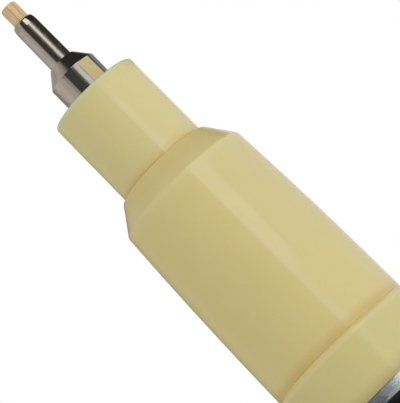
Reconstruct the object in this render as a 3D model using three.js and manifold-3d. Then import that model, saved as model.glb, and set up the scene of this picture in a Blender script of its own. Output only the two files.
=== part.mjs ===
// Extra-fine paint marker, standing on its posted cap with the nib up. Millimetres, +Z towards the nib.
import * as THREE from "three";
import { mergeVertices } from "three/addons/utils/BufferGeometryUtils.js";
import Module from "manifold-3d";

// Lengths along the axis, from the cap's closed end up to the nib
const capLength = 36;
const tailFlangeHeight = 2;
const barrelLength = 84;
const collarLength = 3.94;
const gripLength = 13.5;
const shoulderLength = 1.7;
const noseLength = 6.195;
const sleeveReach = 6.22;
const nibReach = 1.33;

// Fits shared by all pieces
const pressGap = 0.03;
const runningGap = 0.06;
const seatGap = 0.02;
const tipTravel = 1.3;

// Front section, outside
const collarRadius = 5.5;
const collarFillet = 0.4;
const gripRearRadius = 5.03;
const gripFrontRadius = 4.585;
const gripBulge = 0.08;
const shoulderFillet = 0.2;
const stepRadius = 3.39;
const stepFillet = 0.12;
const noseRadius = 3.11;
const noseDraft = 0.02;
const noseFillet = 0.17;
const rimChamfer = 0.08;

// Front section, inside
const ledgeDepth = 4;
const guideBoreRadius = 2.5;
const shellWall = 0.95;
const skirtLength = 4.7;
const skirtChamfer = 0.35;

// Barrel: drawn aluminium tube, lacquered except for a bare ring behind the collar
const barrelRadius = 5.42;
const barrelWall = 0.42;
const lacquerThickness = 0.03;
const bareRingLength = 0.8;
const barrelChamfer = 0.15;

// Metal tip sleeve
const tubeMouthRadius = 0.66;
const tubeRadius = 0.8;
const tubeDraft = 0.017;
const lipLength = 0.58;
const tubeLength = 3.47;
const tubeStepRadius = 0.934;
const coneLength = 0.945;
const sleeveRadius = 1.67;
const sleeveWall = 0.2;

// Nib: extruded plastic rod with paired feed slots
const nibRadius = 0.554;
const nibEndRadius = 0.42;
const nibEndLength = 0.2;
const nibLength = 14.7;
const slotPairs = 3;
const slotPairSpread = 46;
const slotPairStart = 45;
const slotWidth = 0.07;
const slotDepth = 0.1;
const slotFloorShare = 0.6;
const nibArcSteps = 3;

// Nib holder
const holderNoseLength = 5.6;
const holderCollarLength = 2;
const holderRibLength = 2;
const holderRibCount = 4;
const holderRibWidth = 0.9;
const holderRibSink = 0.4;
const holderCoreRadius = 1.5;
const holderTailRadius = 1.2;
const holderTailLength = 2;
const feedWindowWidth = 0.8;
const feedWindowHeight = 1.6;
const feedWindowInset = 0.1;

// Valve
const stemPinRadius = 0.7;
const tailClearance = 0.7;
const stemHeadRadius = 2.1;
const stemHeadHeight = 1.4;
const stemGuideRadius = 0.8;
const stemGuideLength = 4.6;
const seatThickness = 1;
const seatHoleRadius = 1.15;
const seatRound = 0.25;
const caseWall = 0.72;
const caseFrontWall = 1;
const caseFrontHole = 1.5;
const caseFlangeHeight = 1;
const wireRadius = 0.2;
const springRadius = 1.75;
const springCurls = 10;
const retainerThickness = 1.2;
const retainerBossRadius = 1.4;
const retainerBossHeight = 0.9;
const retainerSlots = 3;
const retainerSlotWidth = 0.7;
const retainerSlotInset = 0.1;
const retainerSlotShare = 0.66;
const sealThickness = 0.6;
const sealRound = 0.15;

// Tail plug, which is also the post that takes the cap
const postLength = 9;
const postWall = 0.95;
const postFloor = 1;
const postChamfer = 0.6;
const plugLength = 7;
const sealRibCount = 2;
const sealRibHeight = 0.1;
const flangeFillet = 0.3;

// Agitator ball
const ballRadius = 3.25;

// Cap and its sealing liner
const capMouthRadius = 5.9;
const capEndRadius = 5.6;
const capEndWall = 1.5;
const capEndFillet = 0.6;
const capMouthRound = 0.27;
const capFitGap = 0.05;
const linerWall = 1.36;
const linerFloor = 1;
const linerNoseGap = 0.08;
const linerLipHeight = 0.06;
const linerLipLength = 0.18;
const linerTipRadius = 2.3;
const linerTopGap = 0.4;
const linerLandExtra = 0.8;
const clipLength = 29;
const clipWidth = 3.4;
const clipThickness = 1.15;
const clipGap = 1.25;
const clipRootHeight = 3.6;
const clipRootStart = 1.4;
const clipSink = 0.35;
const clipBeadGap = 0.25;
const clipBeadInset = 0.5;

// Facets on a full turn and on a fillet
const roundSteps = 40;
const smallRoundSteps = 28;
const filletSteps = 3;
const gripSteps = 8;
const curlSteps = 8;
const wireSides = 5;

// Heights of the shared faces
const postBottomZ = capLength - postLength;
const barrelBottomZ = capLength + tailFlangeHeight;
const collarRearZ = barrelBottomZ + barrelLength;
const collarFrontZ = collarRearZ + collarLength;
const shoulderBaseZ = collarFrontZ + gripLength;
const creaseZ = shoulderBaseZ + shoulderLength;
const noseFaceZ = creaseZ + noseLength;
const sleeveMouthZ = noseFaceZ + sleeveReach;
const nibTipZ = sleeveMouthZ + nibReach;
const ledgeZ = noseFaceZ - ledgeDepth;
const skirtEndZ = collarRearZ - skirtLength;
const holderCollarRearZ = ledgeZ - holderCollarLength;
const holderRibEndZ = holderCollarRearZ - holderRibLength;
const holderTailZ = holderRibEndZ - holderTailLength;
const stemFrontZ = holderTailZ - seatGap;
const caseFrontZ = holderTailZ - tipTravel - tailClearance;
const caseWallRearZ = caseFrontZ - caseFrontWall;
const seatRearZ = caseWallRearZ - seatGap - seatThickness;
const stemHeadZ = seatRearZ - seatGap;
const sealTopZ = skirtEndZ - seatGap;
const flangeTopZ = sealTopZ - sealThickness - seatGap;
const retainerRearZ = flangeTopZ - caseFlangeHeight;
const retainerFrontZ = retainerRearZ + retainerThickness;
const springBottomZ = retainerFrontZ + seatGap;
const springTopZ = stemHeadZ - stemHeadHeight - seatGap;
const linerMouthZ = capLength - gripLength - shoulderLength - linerTopGap;
const linerLandZ = linerMouthZ - noseLength - linerLandExtra;

// Radii of the shared fits
const barrelBore = barrelRadius - barrelWall;
const skirtRadius = barrelBore - pressGap;
const noseBore = sleeveRadius + runningGap;
const caseBoreRadius = gripFrontRadius - shellWall;
const caseRadius = caseBoreRadius - pressGap;
const caseInnerRadius = caseRadius - caseWall;
const sleeveBore = sleeveRadius - sleeveWall;
const nibBore = nibRadius + pressGap;
const holderSlideRadius = guideBoreRadius - runningGap;
const capBore = gripRearRadius + capFitGap;
const postRadius = capBore - capFitGap;
const postBore = postRadius - postWall;
const linerBore = noseRadius + linerNoseGap;
const linerRadius = linerBore + linerWall;

const wasm = await Module();
wasm.setup();

const toRadians = THREE.MathUtils.degToRad;

// Rounds the corner at [r, z] between two faces, whose outward normals point at the given angles
function roundCorner(r, z, radius, fromDegrees, toDegrees) {
  const middle = toRadians(fromDegrees + toDegrees) / 2;
  const depth = radius / Math.cos(toRadians(fromDegrees - toDegrees) / 2);
  const centreR = r - depth * Math.cos(middle);
  const centreZ = z - depth * Math.sin(middle);
  const points = [];
  for (let i = 0; i <= filletSteps; i += 1) {
    const angle = toRadians(fromDegrees + ((toDegrees - fromDegrees) * i) / filletSteps);
    points.push([centreR + radius * Math.cos(angle), centreZ + radius * Math.sin(angle)]);
  }
  return points;
}

// Solid of revolution about +Z from a closed outline of [radius, height] points
function revolve(outline, steps = roundSteps) {
  const points = outline.map(([r, z]) => new THREE.Vector2(Math.max(r, 0), z));
  if (THREE.ShapeUtils.area(points) < 0) {
    points.reverse();
  }
  const onAxis = points.findIndex((p, i) => p.x === 0 && points[(i + 1) % points.length].x === 0);
  if (onAxis >= 0) {
    points.push(...points.splice(0, onAxis + 1));
  } else {
    points.push(points[0].clone());
  }
  return new THREE.LatheGeometry(points, steps).rotateX(Math.PI / 2);
}

function toSolid(geometry) {
  const plain = geometry.clone();
  plain.deleteAttribute("normal");
  plain.deleteAttribute("uv");
  const merged = mergeVertices(plain, 1e-4);
  return new wasm.Manifold(
    new wasm.Mesh({
      numProp: 3,
      vertProperties: new Float32Array(merged.attributes.position.array),
      triVerts: new Uint32Array(merged.index.array),
    }),
  );
}

function toGeometry(solid) {
  const mesh = solid.getMesh();
  const geometry = new THREE.BufferGeometry();
  geometry.setAttribute("position", new THREE.BufferAttribute(new Float32Array(mesh.vertProperties), 3));
  geometry.setIndex(new THREE.BufferAttribute(new Uint32Array(mesh.triVerts), 1));
  return geometry;
}

// Closed body from rings of equal point counts, stacked from low to high
function loft(rings) {
  const count = rings[0].length;
  const positions = rings.flatMap((ring) => ring.flatMap((p) => [p.x, p.y, p.z]));
  const index = [];
  for (let k = 0; k + 1 < rings.length; k += 1) {
    for (let i = 0; i < count; i += 1) {
      const a = k * count + i;
      const b = k * count + ((i + 1) % count);
      index.push(a, b, b + count, a, b + count, a + count);
    }
  }
  const flat = rings[0].map((p) => new THREE.Vector2(p.x, p.y));
  const last = (rings.length - 1) * count;
  for (const [a, b, c] of THREE.ShapeUtils.triangulateShape(flat, [])) {
    index.push(a, c, b);
    index.push(last + a, last + b, last + c);
  }
  const geometry = new THREE.BufferGeometry();
  geometry.setAttribute("position", new THREE.Float32BufferAttribute(positions, 3));
  geometry.setIndex(index);
  return geometry;
}

function gripRadiusAt(share) {
  const chord = gripFrontRadius + (gripRearRadius - gripFrontRadius) * share;
  return chord + 4 * gripBulge * share * (1 - share);
}

// One moulding: nose, shoulder cone, barrelled grip, stop collar and the skirt that enters the barrel
function makeFrontSection() {
  const coneAngle = THREE.MathUtils.radToDeg(Math.atan2(gripFrontRadius - stepRadius, shoulderLength));
  const gripAngle = THREE.MathUtils.radToDeg(
    Math.atan2(gripRadiusAt(1 / gripSteps) - gripFrontRadius, gripLength / gripSteps),
  );
  const noseFront = noseRadius - noseDraft;
  const grip = [];
  for (let i = 1; i <= gripSteps; i += 1) {
    grip.push([gripRadiusAt(i / gripSteps), shoulderBaseZ - (gripLength * i) / gripSteps]);
  }
  const outside = [
    [noseBore + rimChamfer, noseFaceZ],
    ...roundCorner(noseFront, noseFaceZ, noseFillet, 90, 0),
    [noseRadius, creaseZ],
    ...roundCorner(stepRadius, creaseZ, stepFillet, 90, coneAngle),
    ...roundCorner(gripFrontRadius, shoulderBaseZ, shoulderFillet, coneAngle, gripAngle),
    ...grip,
    ...roundCorner(collarRadius, collarFrontZ, collarFillet, 90, 0),
    [collarRadius, collarRearZ + rimChamfer],
    [collarRadius - rimChamfer, collarRearZ],
    [skirtRadius, collarRearZ],
    [skirtRadius, skirtEndZ + skirtChamfer],
    [skirtRadius - skirtChamfer, skirtEndZ],
  ];
  const boreShoulderZ = shoulderBaseZ - shellWall;
  const boreTaper = caseBoreRadius - guideBoreRadius;
  const inside = [
    [caseBoreRadius, skirtEndZ],
    [caseBoreRadius, boreShoulderZ],
    [guideBoreRadius, boreShoulderZ + boreTaper],
    [guideBoreRadius, ledgeZ],
    [noseBore, ledgeZ],
    [noseBore, noseFaceZ - rimChamfer],
  ];
  return revolve([...outside, ...inside]);
}

// Drawn metal sleeve: rolled lip, fine tube, flat step, cone and the body that slides in the nose
function makeTipSleeve() {
  const tubeEndZ = sleeveMouthZ - tubeLength;
  const bodyZ = tubeEndZ - coneLength;
  const tubeFront = tubeRadius - tubeDraft;
  const lip = [];
  for (let i = 0; i <= filletSteps; i += 1) {
    const angle = (Math.PI / 2) * (1 - i / filletSteps);
    const r = tubeMouthRadius + (tubeFront - tubeMouthRadius) * Math.cos(angle);
    lip.push([r, sleeveMouthZ - lipLength * (1 - Math.sin(angle))]);
  }
  const outside = [...lip, [tubeRadius, tubeEndZ], [tubeStepRadius, tubeEndZ], [sleeveRadius, bodyZ]];
  const rearZ = ledgeZ + seatGap;
  const inside = [
    [sleeveRadius, rearZ],
    [sleeveBore, rearZ],
    [sleeveBore, bodyZ - sleeveWall],
    [nibBore, tubeEndZ - sleeveWall - coneLength / 2],
    [nibBore, sleeveMouthZ],
  ];
  return revolve([...outside, ...inside], smallRoundSteps);
}

// Cross-section of the nib: a round with narrow feed slots in pairs
function nibSection(scale, z) {
  const points = [];
  const half = Math.asin(slotWidth / 2 / nibRadius);
  const floorHalf = half * slotFloorShare;
  const gapAngles = [];
  for (let k = 0; k < slotPairs; k += 1) {
    const first = toRadians(slotPairStart + (360 / slotPairs) * k - slotPairSpread / 2);
    gapAngles.push(first, first + toRadians(slotPairSpread));
  }
  gapAngles.forEach((angle, k) => {
    const next = k + 1 < gapAngles.length ? gapAngles[k + 1] : gapAngles[0] + 2 * Math.PI;
    const floor = nibRadius - slotDepth;
    points.push([nibRadius, angle - half], [floor, angle - floorHalf], [floor, angle + floorHalf]);
    for (let i = 0; i < nibArcSteps; i += 1) {
      points.push([nibRadius, angle + half + ((next - angle - 2 * half) * i) / nibArcSteps]);
    }
  });
  return points.map(([r, a]) => new THREE.Vector3(r * scale * Math.cos(a), r * scale * Math.sin(a), z));
}

function makeNib() {
  const endScale = nibEndRadius / nibRadius;
  const rings = [nibSection(1, nibTipZ - nibLength), nibSection(1, nibTipZ - nibEndLength)];
  for (let i = 1; i <= filletSteps; i += 1) {
    const angle = (Math.PI / 2) * (i / filletSteps);
    const scale = endScale + (1 - endScale) * Math.cos(angle);
    rings.push(nibSection(scale, nibTipZ - nibEndLength * (1 - Math.sin(angle))));
  }
  return loft(rings);
}

// Holder: pressed in the sleeve, slides in the guide bore on its ribs and pushes the valve with its tail
function makeNibHolder() {
  const topZ = ledgeZ + holderNoseLength;
  const socketZ = nibTipZ - nibLength - seatGap;
  const noseR = sleeveBore - pressGap;
  const core = revolve(
    [
      [nibBore, topZ],
      [noseR - rimChamfer, topZ],
      [noseR, topZ - rimChamfer],
      [noseR, ledgeZ],
      [holderSlideRadius, ledgeZ - seatGap],
      [holderSlideRadius, holderCollarRearZ],
      [holderCoreRadius, holderCollarRearZ],
      [holderCoreRadius, holderRibEndZ],
      [holderTailRadius, holderRibEndZ - rimChamfer],
      [holderTailRadius, holderTailZ],
      [0, holderTailZ],
      [0, socketZ],
      [nibBore, socketZ],
    ],
    smallRoundSteps,
  );
  let solid = toSolid(core);
  const ribOuter = holderSlideRadius - runningGap;
  const ribInner = holderCoreRadius - holderRibSink;
  const ribHeight = holderRibLength + holderRibSink;
  for (let k = 0; k < holderRibCount; k += 1) {
    const rib = new THREE.BoxGeometry(ribOuter - ribInner, holderRibWidth, ribHeight);
    rib.translate((ribOuter + ribInner) / 2, 0, holderRibEndZ + ribHeight / 2);
    rib.rotateZ((2 * Math.PI * (k + 0.5)) / holderRibCount);
    solid = solid.add(toSolid(rib));
  }
  const window = new THREE.BoxGeometry(2 * guideBoreRadius, feedWindowWidth, feedWindowHeight);
  window.translate(0, 0, holderCollarRearZ - feedWindowInset - feedWindowHeight / 2);
  return toGeometry(solid.subtract(toSolid(window)));
}

// Poppet: front pin, sealing head and rear guide in the spring
function makeValveStem() {
  const headRearZ = stemHeadZ - stemHeadHeight;
  return revolve(
    [
      [0, stemFrontZ],
      [stemPinRadius - rimChamfer, stemFrontZ],
      [stemPinRadius, stemFrontZ - rimChamfer],
      [stemPinRadius, stemHeadZ],
      [stemHeadRadius - rimChamfer, stemHeadZ],
      [stemHeadRadius, stemHeadZ - rimChamfer],
      [stemHeadRadius, headRearZ],
      [stemGuideRadius, headRearZ],
      [stemGuideRadius, headRearZ - stemGuideLength],
      [0, headRearZ - stemGuideLength],
    ],
    smallRoundSteps,
  );
}

function makeValveSeat() {
  const outer = caseInnerRadius - pressGap;
  return revolve(
    [
      [seatHoleRadius, seatRearZ + seatRound],
      [seatHoleRadius + seatRound, seatRearZ],
      [outer, seatRearZ],
      [outer, seatRearZ + seatThickness],
      [seatHoleRadius, seatRearZ + seatThickness],
    ],
    smallRoundSteps,
  );
}

// Case: a cup with a pierced front wall and a flange that clamps the seal ring
function makeValveCase() {
  const flangeRadius = barrelBore - runningGap;
  return revolve(
    [
      [caseFrontHole, caseFrontZ],
      [caseRadius - skirtChamfer, caseFrontZ],
      [caseRadius, caseFrontZ - skirtChamfer],
      [caseRadius, flangeTopZ],
      [flangeRadius, flangeTopZ],
      [flangeRadius, retainerRearZ],
      [caseInnerRadius, retainerRearZ],
      [caseInnerRadius, caseWallRearZ],
      [caseFrontHole, caseWallRearZ],
    ],
    smallRoundSteps,
  );
}

// Compression spring as one unbroken wire
function makeValveSpring() {
  const steps = springCurls * curlSteps;
  const rise = springTopZ - springBottomZ - 2 * wireRadius;
  const centreZ = springBottomZ + wireRadius;
  const centre = (t) => {
    const turn = 2 * Math.PI * springCurls * t;
    const z = centreZ + rise * t;
    return new THREE.Vector3(springRadius * Math.cos(turn), springRadius * Math.sin(turn), z);
  };
  const positions = [];
  const index = [];
  const centres = [];
  for (let i = 0; i <= steps; i += 1) {
    const turn = (2 * Math.PI * i) / curlSteps;
    const at = centre(i / steps);
    centres.push(at);
    const outward = new THREE.Vector3(Math.cos(turn), Math.sin(turn), 0);
    const along = new THREE.Vector3(-springRadius * Math.sin(turn), springRadius * Math.cos(turn), 0);
    along.z = rise / (2 * Math.PI * springCurls);
    const upward = new THREE.Vector3().crossVectors(along.normalize(), outward);
    for (let k = 0; k < wireSides; k += 1) {
      const a = (2 * Math.PI * k) / wireSides;
      const p = at.clone().addScaledVector(outward, wireRadius * Math.cos(a));
      p.addScaledVector(upward, wireRadius * Math.sin(a));
      positions.push(p.x, p.y, p.z);
      if (i < steps) {
        const here = i * wireSides + k;
        const beside = i * wireSides + ((k + 1) % wireSides);
        index.push(here, beside, beside + wireSides, here, beside + wireSides, here + wireSides);
      }
    }
  }
  const last = steps * wireSides;
  for (let k = 1; k + 1 < wireSides; k += 1) {
    index.push(0, k + 1, k);
    index.push(last, last + k, last + k + 1);
  }
  let least = Infinity;
  centres.forEach((a, i) => {
    centres.slice(i + curlSteps / 2 + 1).forEach((b) => {
      least = Math.min(least, a.distanceTo(b) - 2 * wireRadius);
    });
  });
  console.log(`valve_spring: least gap between curls ${least.toFixed(3)} mm`);
  const geometry = new THREE.BufferGeometry();
  geometry.setAttribute("position", new THREE.Float32BufferAttribute(positions, 3));
  geometry.setIndex(index);
  return geometry;
}

// Retainer: a pierced disc with a boss that centres the spring
function makeSpringRetainer() {
  const outer = caseInnerRadius - pressGap;
  const slotInner = retainerBossRadius + retainerSlotInset;
  const slotOuter = slotInner + retainerSlotWidth;
  const reach = (Math.PI / retainerSlots) * retainerSlotShare;
  const disc = new THREE.Shape();
  disc.absarc(0, 0, outer, 0, 2 * Math.PI, false);
  for (let k = 0; k < retainerSlots; k += 1) {
    const middle = (2 * Math.PI * k) / retainerSlots;
    const slot = new THREE.Path();
    slot.absarc(0, 0, slotOuter, middle - reach, middle + reach, false);
    slot.absarc(0, 0, slotInner, middle + reach, middle - reach, true);
    slot.closePath();
    disc.holes.push(slot);
  }
  const options = { depth: retainerThickness, bevelEnabled: false, curveSegments: smallRoundSteps / 2 };
  const plate = new THREE.ExtrudeGeometry(disc, options).translate(0, 0, retainerRearZ);
  const boss = revolve(
    [
      [0, retainerRearZ],
      [retainerBossRadius, retainerRearZ],
      [retainerBossRadius, retainerFrontZ + retainerBossHeight - rimChamfer],
      [retainerBossRadius - rimChamfer, retainerFrontZ + retainerBossHeight],
      [0, retainerFrontZ + retainerBossHeight],
    ],
    smallRoundSteps,
  );
  return toGeometry(toSolid(plate).add(toSolid(boss)));
}

function makeSealRing() {
  const inner = caseRadius + pressGap;
  const outer = barrelBore - pressGap;
  const bottom = sealTopZ - sealThickness;
  return revolve([
    [inner, bottom],
    [outer - sealRound, bottom],
    [outer, bottom + sealRound],
    [outer, sealTopZ - sealRound],
    [outer - sealRound, sealTopZ],
    [inner, sealTopZ],
  ]);
}

// Barrel: open tube, with the lacquer's edge standing a hair proud behind the bare ring
function makeBarrel() {
  const lacquerRadius = barrelRadius + lacquerThickness;
  const bottom = barrelBottomZ + seatGap;
  const top = collarRearZ - seatGap;
  return revolve([
    [barrelBore, bottom],
    [lacquerRadius - barrelChamfer, bottom],
    [lacquerRadius, bottom + barrelChamfer],
    [lacquerRadius, top - bareRingLength],
    [barrelRadius, top - bareRingLength],
    [barrelRadius, top - barrelChamfer / 2],
    [barrelRadius - barrelChamfer / 2, top],
    [barrelBore + barrelChamfer / 2, top],
    [barrelBore, top - barrelChamfer / 2],
  ]);
}

// Tail plug: closed post below, flange, and a ribbed plug inside the barrel
function makeTailPlug() {
  const plugR = barrelBore - pressGap - sealRibHeight;
  const plugTopZ = barrelBottomZ + plugLength;
  const ribs = [];
  const ribPitch = plugLength / (sealRibCount + 1);
  for (let k = 1; k <= sealRibCount; k += 1) {
    const z = barrelBottomZ + ribPitch * k;
    ribs.push([plugR, z - 2 * sealRibHeight], [plugR + sealRibHeight, z - sealRibHeight]);
    ribs.push([plugR + sealRibHeight, z + sealRibHeight], [plugR, z + 2 * sealRibHeight]);
  }
  const low = capLength + seatGap;
  return revolve([
    [0, postBottomZ],
    [postRadius - postChamfer, postBottomZ],
    [postRadius - postChamfer / 3, postBottomZ + postChamfer / 3],
    [postRadius, postBottomZ + postChamfer],
    [postRadius, low],
    ...roundCorner(barrelRadius, low, flangeFillet, -90, 0),
    [barrelRadius, barrelBottomZ],
    [plugR, barrelBottomZ],
    ...ribs,
    [plugR, plugTopZ - skirtChamfer],
    [plugR - skirtChamfer, plugTopZ],
    [postBore, plugTopZ],
    [postBore, postBottomZ + postFloor + postChamfer],
    [postBore - postChamfer, postBottomZ + postFloor],
    [0, postBottomZ + postFloor],
  ]);
}

function makeBall() {
  const ballZ = postBottomZ + postFloor + seatGap + ballRadius;
  return new THREE.SphereGeometry(ballRadius, smallRoundSteps, smallRoundSteps / 2)
    .rotateX(Math.PI / 2)
    .translate(0, 0, ballZ);
}

// Side view of the pocket clip: root block, long arm and a rounded bead near the cap's mouth
function makeClip() {
  const wallAtRoot = capEndRadius - clipSink;
  const armInner = capMouthRadius + clipGap;
  const armOuter = armInner + clipThickness;
  const topZ = clipRootStart + clipLength;
  const beadRadius = clipGap - clipBeadGap;
  const beadZ = topZ - beadRadius - clipBeadInset;
  const side = new THREE.Shape();
  side.moveTo(wallAtRoot, clipRootStart);
  side.lineTo(armOuter - clipThickness, clipRootStart);
  side.quadraticCurveTo(armOuter, clipRootStart, armOuter, clipRootStart + clipThickness);
  side.lineTo(armOuter, topZ - beadRadius);
  side.quadraticCurveTo(armOuter, topZ, armOuter - clipThickness, topZ);
  side.lineTo(armInner, topZ);
  side.absarc(armInner, beadZ, beadRadius, Math.PI / 2, 1.5 * Math.PI, false);
  side.lineTo(armInner, clipRootStart + clipRootHeight + clipGap / 2);
  side.quadraticCurveTo(armInner, clipRootStart + clipRootHeight, wallAtRoot, clipRootStart + clipRootHeight);
  side.closePath();
  const options = { depth: clipWidth, bevelEnabled: false, curveSegments: filletSteps * 2 };
  const bar = new THREE.ExtrudeGeometry(side, options).translate(0, 0, -clipWidth / 2);
  // The outline lies in X-Y: stand it up, then turn the arm to the front, -Y
  return bar.rotateX(Math.PI / 2).rotateZ(-Math.PI / 2);
}

function makeCapShell() {
  const socketRadius = linerRadius + pressGap;
  const shell = revolve([
    [0, 0],
    ...roundCorner(capEndRadius, 0, capEndFillet, -90, 0),
    [capMouthRadius, capLength - capMouthRound],
    [capMouthRadius - capMouthRound, capLength],
    [capBore + capMouthRound, capLength],
    [capBore, capLength - capMouthRound],
    [capBore, linerMouthZ + (capBore - socketRadius)],
    [socketRadius, linerMouthZ],
    [socketRadius, capEndWall],
    [0, capEndWall],
  ]);
  return toGeometry(toSolid(shell).add(toSolid(makeClip())));
}

// Liner: a cup whose lip seals on the nose and whose narrow end houses the tip
function makeCapLiner() {
  const bottom = capEndWall + seatGap;
  const lipR = linerBore - linerLipHeight;
  const top = linerMouthZ - seatGap;
  return revolve([
    [0, bottom],
    [linerRadius, bottom],
    [linerRadius, top],
    [linerBore + linerLipHeight, top],
    [lipR, top - linerLipLength],
    [lipR, top - 2 * linerLipLength],
    [linerBore, top - 3 * linerLipLength],
    [linerBore, linerLandZ],
    [linerTipRadius, linerLandZ - (linerBore - linerTipRadius)],
    [linerTipRadius, bottom + linerFloor],
    [0, bottom + linerFloor],
  ]);
}

function finish(color, roughness, metalness) {
  return new THREE.MeshStandardMaterial({ color, roughness, metalness });
}

const looks = {
  cream: finish("#d4c891", 0.35, 0),
  nibPlastic: finish("#c8a873", 0.55, 0),
  nickel: finish("#b9b2a8", 0.18, 1),
  aluminium: finish("#b4b8bc", 0.35, 1),
  blackLacquer: finish("#0c0c0d", 0.25, 0),
  whitePlastic: finish("#e6e4dc", 0.45, 0),
  rubber: finish("#2b2b2c", 0.8, 0),
  springSteel: finish("#9a9c9e", 0.3, 1),
};

const marker = new THREE.Group();

function addPiece(parent, name, geometry, look) {
  const mesh = new THREE.Mesh(geometry, look.clone());
  mesh.name = name;
  parent.add(mesh);
}

// Barrel with what is pressed into it
addPiece(marker, "barrel", makeBarrel(), looks.blackLacquer);
addPiece(marker, "tail_plug", makeTailPlug(), looks.cream);
addPiece(marker, "front_section", makeFrontSection(), looks.cream);
addPiece(marker, "seal_ring", makeSealRing(), looks.rubber);

// Valve
const valve = new THREE.Group();
addPiece(valve, "valve_case", makeValveCase(), looks.whitePlastic);
addPiece(valve, "valve_seat", makeValveSeat(), looks.rubber);
addPiece(valve, "valve_stem", makeValveStem(), looks.whitePlastic);
addPiece(valve, "valve_spring", makeValveSpring(), looks.springSteel);
addPiece(valve, "spring_retainer", makeSpringRetainer(), looks.whitePlastic);
marker.add(valve);

// Sliding tip
const tip = new THREE.Group();
addPiece(tip, "nib", makeNib(), looks.nibPlastic);
addPiece(tip, "tip_sleeve", makeTipSleeve(), looks.nickel);
addPiece(tip, "nib_holder", makeNibHolder(), looks.whitePlastic);
marker.add(tip);

addPiece(marker, "agitator_ball", makeBall(), looks.springSteel);

// Posted cap
const cap = new THREE.Group();
addPiece(cap, "cap_shell", makeCapShell(), looks.cream);
addPiece(cap, "cap_liner", makeCapLiner(), looks.whitePlastic);
marker.add(cap);

export default marker;
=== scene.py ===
import math

import bmesh
import bpy
from mathutils import Matrix, Vector


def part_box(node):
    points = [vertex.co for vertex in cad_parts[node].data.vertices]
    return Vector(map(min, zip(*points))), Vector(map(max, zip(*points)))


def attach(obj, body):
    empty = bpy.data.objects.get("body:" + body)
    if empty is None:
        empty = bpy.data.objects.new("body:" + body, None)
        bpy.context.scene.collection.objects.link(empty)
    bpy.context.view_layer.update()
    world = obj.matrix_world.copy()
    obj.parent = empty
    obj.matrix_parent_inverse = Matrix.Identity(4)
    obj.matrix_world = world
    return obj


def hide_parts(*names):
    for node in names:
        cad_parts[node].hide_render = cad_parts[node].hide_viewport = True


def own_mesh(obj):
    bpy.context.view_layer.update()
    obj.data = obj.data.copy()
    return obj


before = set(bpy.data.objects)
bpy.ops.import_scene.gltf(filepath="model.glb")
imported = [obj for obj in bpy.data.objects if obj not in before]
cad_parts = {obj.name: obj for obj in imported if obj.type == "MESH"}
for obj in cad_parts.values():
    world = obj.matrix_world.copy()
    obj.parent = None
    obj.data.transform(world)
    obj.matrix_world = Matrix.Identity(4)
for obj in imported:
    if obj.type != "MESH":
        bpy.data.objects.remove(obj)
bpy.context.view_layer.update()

# A paint marker that stands on its posted cap, nib up. Metres, +Z towards the nib.
mm = 0.001
scene = bpy.context.scene
print("frame: loaded with", len(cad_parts), "nodes")


class Wire:
    # One output socket. Arithmetic on it adds the Math nodes, so that shader maths reads as plain sums.
    def __init__(self, board, socket):
        self.board = board
        self.socket = socket

    def maths(self, operation, *values):
        return self.board.add("ShaderNodeMath", {"operation": operation}, dict(enumerate(values)))

    def __add__(self, other):
        return self.maths("ADD", self, other)

    __radd__ = __add__

    def __sub__(self, other):
        return self.maths("SUBTRACT", self, other)

    def __rsub__(self, other):
        return self.maths("SUBTRACT", other, self)

    def __mul__(self, other):
        return self.maths("MULTIPLY", self, other)

    __rmul__ = __mul__

    def __truediv__(self, other):
        return self.maths("DIVIDE", self, other)

    def __rtruediv__(self, other):
        return self.maths("DIVIDE", other, self)

    def __mod__(self, other):
        return self.maths("FLOORED_MODULO", self, other)

    def __pow__(self, other):
        return self.maths("POWER", self, other)

    def __abs__(self):
        return self.maths("ABSOLUTE", self)

    def above(self, edge, softness):
        # 0 below the edge and 1 above it, with a smooth step as wide as the softness
        sockets = {0: self, 1: edge - softness / 2, 2: edge + softness / 2}
        return self.board.add("ShaderNodeMapRange", {"interpolation_type": "SMOOTHSTEP"}, sockets)

    def near(self, centre, reach):
        # 1 at the centre, falling to 0 as far away as the reach
        return self.board.add("ShaderNodeClamp", {}, {0: 1 - abs(self - centre) / reach})


class Board:
    # A node tree. One method adds any node: its type, its settings, then its sockets' values or links.
    def __init__(self, tree):
        self.tree = tree

    def add(self, kind, settings=None, sockets=None, output=0):
        node = self.tree.nodes.new(kind)
        for name, setting in (settings or {}).items():
            setattr(node, name, setting)
        for key, value in (sockets or {}).items():
            if isinstance(value, Wire):
                self.tree.links.new(value.socket, node.inputs[key])
            else:
                node.inputs[key].default_value = value
        return Wire(self, node.outputs[output]) if len(node.outputs) else None

    def mix(self, share, first, second):
        # A colour mix: the first colour at 0, the second at 1
        sockets = {0: share, 6: self.colour(first), 7: self.colour(second)}
        return self.add("ShaderNodeMix", {"data_type": "RGBA"}, sockets, 2)

    def colour(self, value):
        return value if isinstance(value, Wire) else (*value, 1)

    def place(self):
        return self.add("ShaderNodeTexCoord", output="Object")

    def part(self, vector, axis):
        return self.add("ShaderNodeSeparateXYZ", {}, {0: vector}, axis)

    def stretch(self, vector, x, y, z):
        return self.add("ShaderNodeMapping", {}, {"Vector": vector, "Scale": (x, y, z)})

    def noise(self, vector, scale, detail=3, roughness=0.5):
        sockets = {"Vector": vector, "Scale": scale, "Detail": detail, "Roughness": roughness}
        return self.add("ShaderNodeTexNoise", {}, sockets)

    def bump(self, height, depth):
        return self.add("ShaderNodeBump", {}, {"Height": height, "Distance": depth, "Strength": 1.0})


def makeMaterial(name, recipe, **sizes):
    # The recipe gets a board and returns the sockets of the Principled shader
    material = bpy.data.materials.new(name)
    material.use_nodes = True
    material.node_tree.nodes.clear()
    board = Board(material.node_tree)
    shader = board.add("ShaderNodeBsdfPrincipled", {}, recipe(board, **sizes))
    board.add("ShaderNodeOutputMaterial", {}, {"Surface": shader})
    return material


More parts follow.
